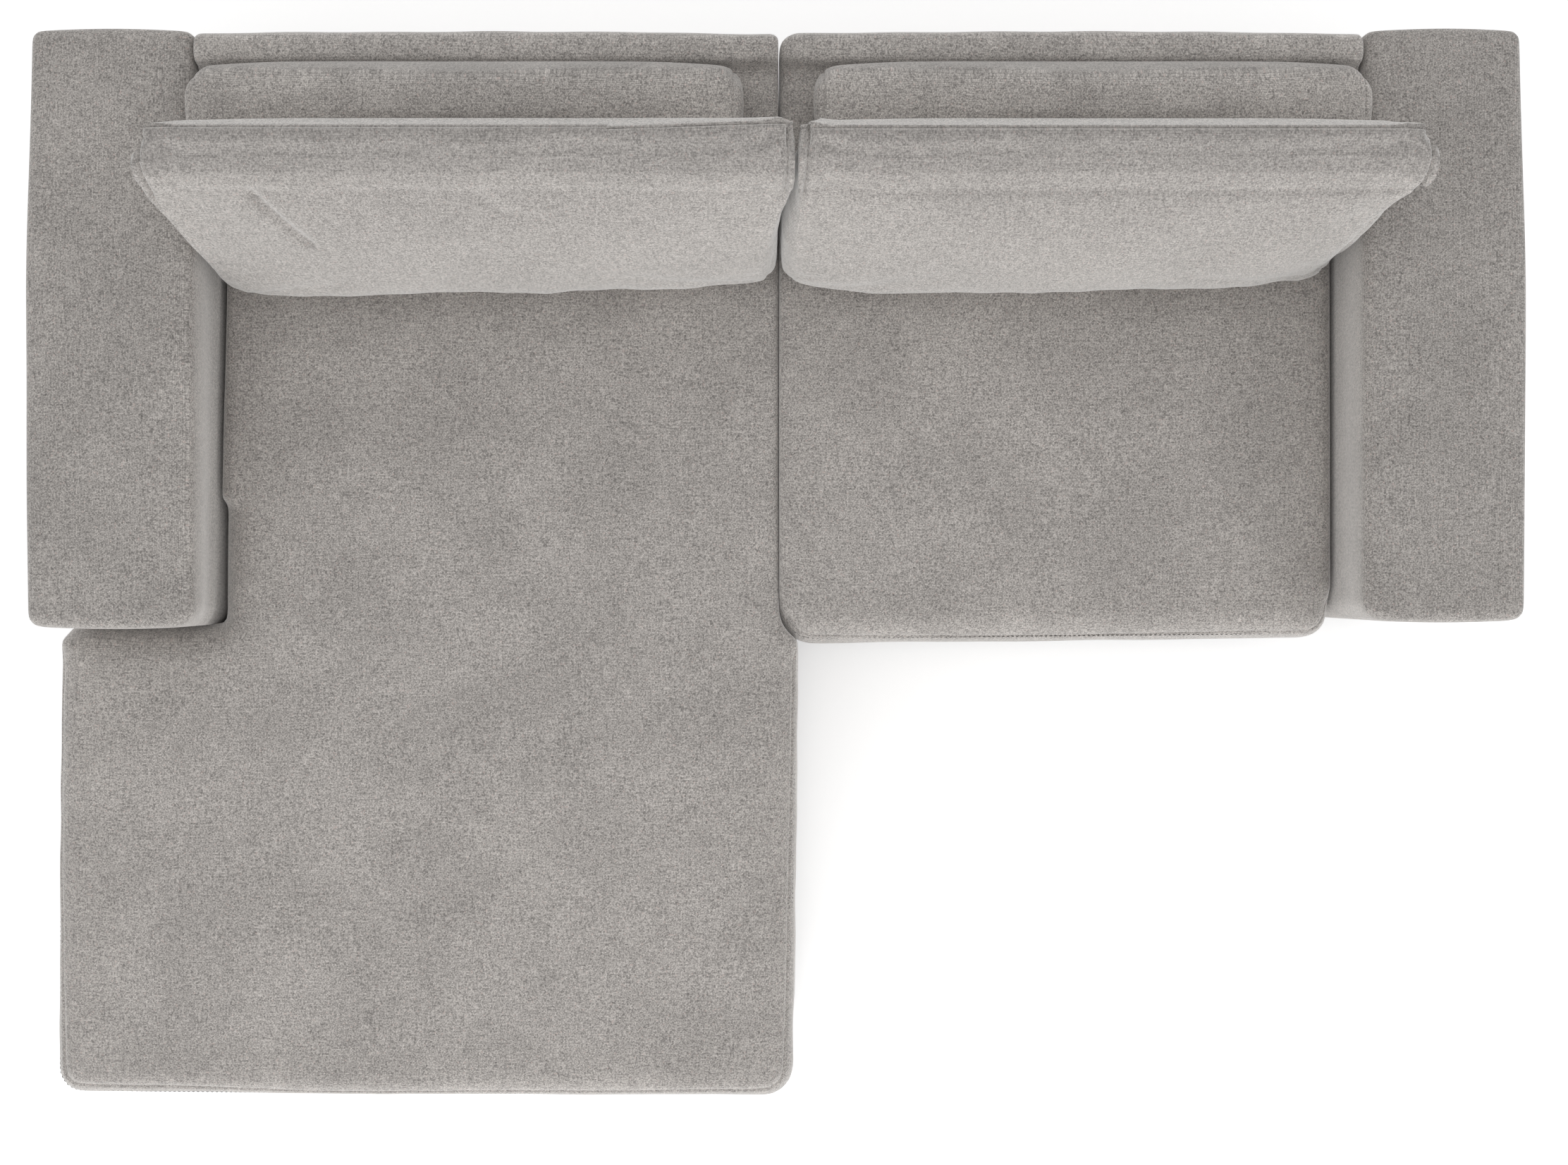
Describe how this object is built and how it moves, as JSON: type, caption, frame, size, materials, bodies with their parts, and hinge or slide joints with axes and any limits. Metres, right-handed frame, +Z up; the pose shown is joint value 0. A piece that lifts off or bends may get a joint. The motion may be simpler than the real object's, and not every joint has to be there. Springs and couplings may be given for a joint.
{
  "type": "lounge sofa",
  "caption": "L-shaped lounge sofa: chaise module and seat module with wide arms, low back, tilting headrest pads and loose back cushions, on low block feet.",
  "frame": {"origin": "middle of the whole sofa's bounding box, on the floor", "axes": "+Z up, +Y towards the backs, +X towards the arm of the single seat, the chaise is at -X"},
  "size_m": [2.528, 1.836, 0.8457],
  "materials": {
    "fabric_cover": "matte",
    "foam": "matte",
    "dust_cloth": "matte",
    "webbing": "matte",
    "timber": "matte",
    "plywood": "matte",
    "spring_steel": "satin",
    "hinge_steel": "satin",
    "bolt_steel": "satin",
    "foot_plastic": "matte",
    "glide_felt": "matte",
    "zip_tape": "matte"
  },
  "bodies": {
    "root": {"chaise_seat_cover": "fabric_cover", "seat_cover": "fabric_cover", "chaise_base_cover": "fabric_cover", "seat_base_cover": "fabric_cover", "left_arm_cover": "fabric_cover", "right_arm_cover": "fabric_cover", "left_back_cover": "fabric_cover", "right_back_cover": "fabric_cover", "chaise_seat_foam": "foam", "seat_foam": "foam", "left_arm_foam": "foam", "right_arm_foam": "foam", "left_back_foam": "foam", "right_back_foam": "foam", "chaise_dust_cover": "dust_cloth", "seat_dust_cover": "dust_cloth", "chaise_front_rail": "timber", "chaise_rear_rail": "timber", "chaise_side_rails": "timber", "chaise_cross_rails": "timber", "seat_front_rail": "timber", "seat_rear_rail": "timber", "seat_side_rails": "timber", "corner_blocks": "timber", "left_arm_frame": "plywood", "right_arm_frame": "plywood", "left_back_rails": "timber", "right_back_rails": "timber", "left_back_panels": "plywood", "right_back_panels": "plywood", "left_back_webbing": "webbing", "right_back_webbing": "webbing", "chaise_springs": "spring_steel", "seat_springs": "spring_steel", "spring_clips": "spring_steel", "left_hinge_legs": "hinge_steel", "right_hinge_legs": "hinge_steel", "left_hinge_pins": "bolt_steel", "right_hinge_pins": "bolt_steel", "feet": "foot_plastic", "foot_glides": "glide_felt", "foot_bolts": "bolt_steel", "arm_bolts": "bolt_steel", "connector_screws": "bolt_steel", "connector_plates": "hinge_steel"},
    "headrest_left": {"left_headrest_board": "plywood", "left_headrest_foam": "foam", "left_headrest_cover": "fabric_cover", "left_hinge_leaves": "hinge_steel"},
    "back_cushion_left": {"left_cushion_cover": "fabric_cover", "left_cushion_fill": "foam", "left_cushion_zip": "zip_tape"},
    "headrest_right": {"right_headrest_board": "plywood", "right_headrest_foam": "foam", "right_headrest_cover": "fabric_cover", "right_hinge_leaves": "hinge_steel"},
    "back_cushion_right": {"right_cushion_cover": "fabric_cover", "right_cushion_fill": "foam", "right_cushion_zip": "zip_tape"}
  },
  "joints": [
    {"name": "headrest_left_tilt", "type": "hinge", "parent": "root", "child": "headrest_left", "pos_m": [-0.502, 0.746, 0.66], "axis": [1, 0, 0], "range_deg": [0, 90]},
    {"name": "back_cushion_left_lift", "type": "slide", "parent": "root", "child": "back_cushion_left", "axis": [0, -0.5, 0.866], "range_m": [0, 0.4]},
    {"name": "headrest_right_tilt", "type": "hinge", "parent": "root", "child": "headrest_right", "pos_m": [0.53, 0.746, 0.66], "axis": [1, 0, 0], "range_deg": [0, 90]},
    {"name": "back_cushion_right_lift", "type": "slide", "parent": "root", "child": "back_cushion_right", "axis": [0, -0.5, 0.866], "range_m": [0, 0.4]}
  ]
}
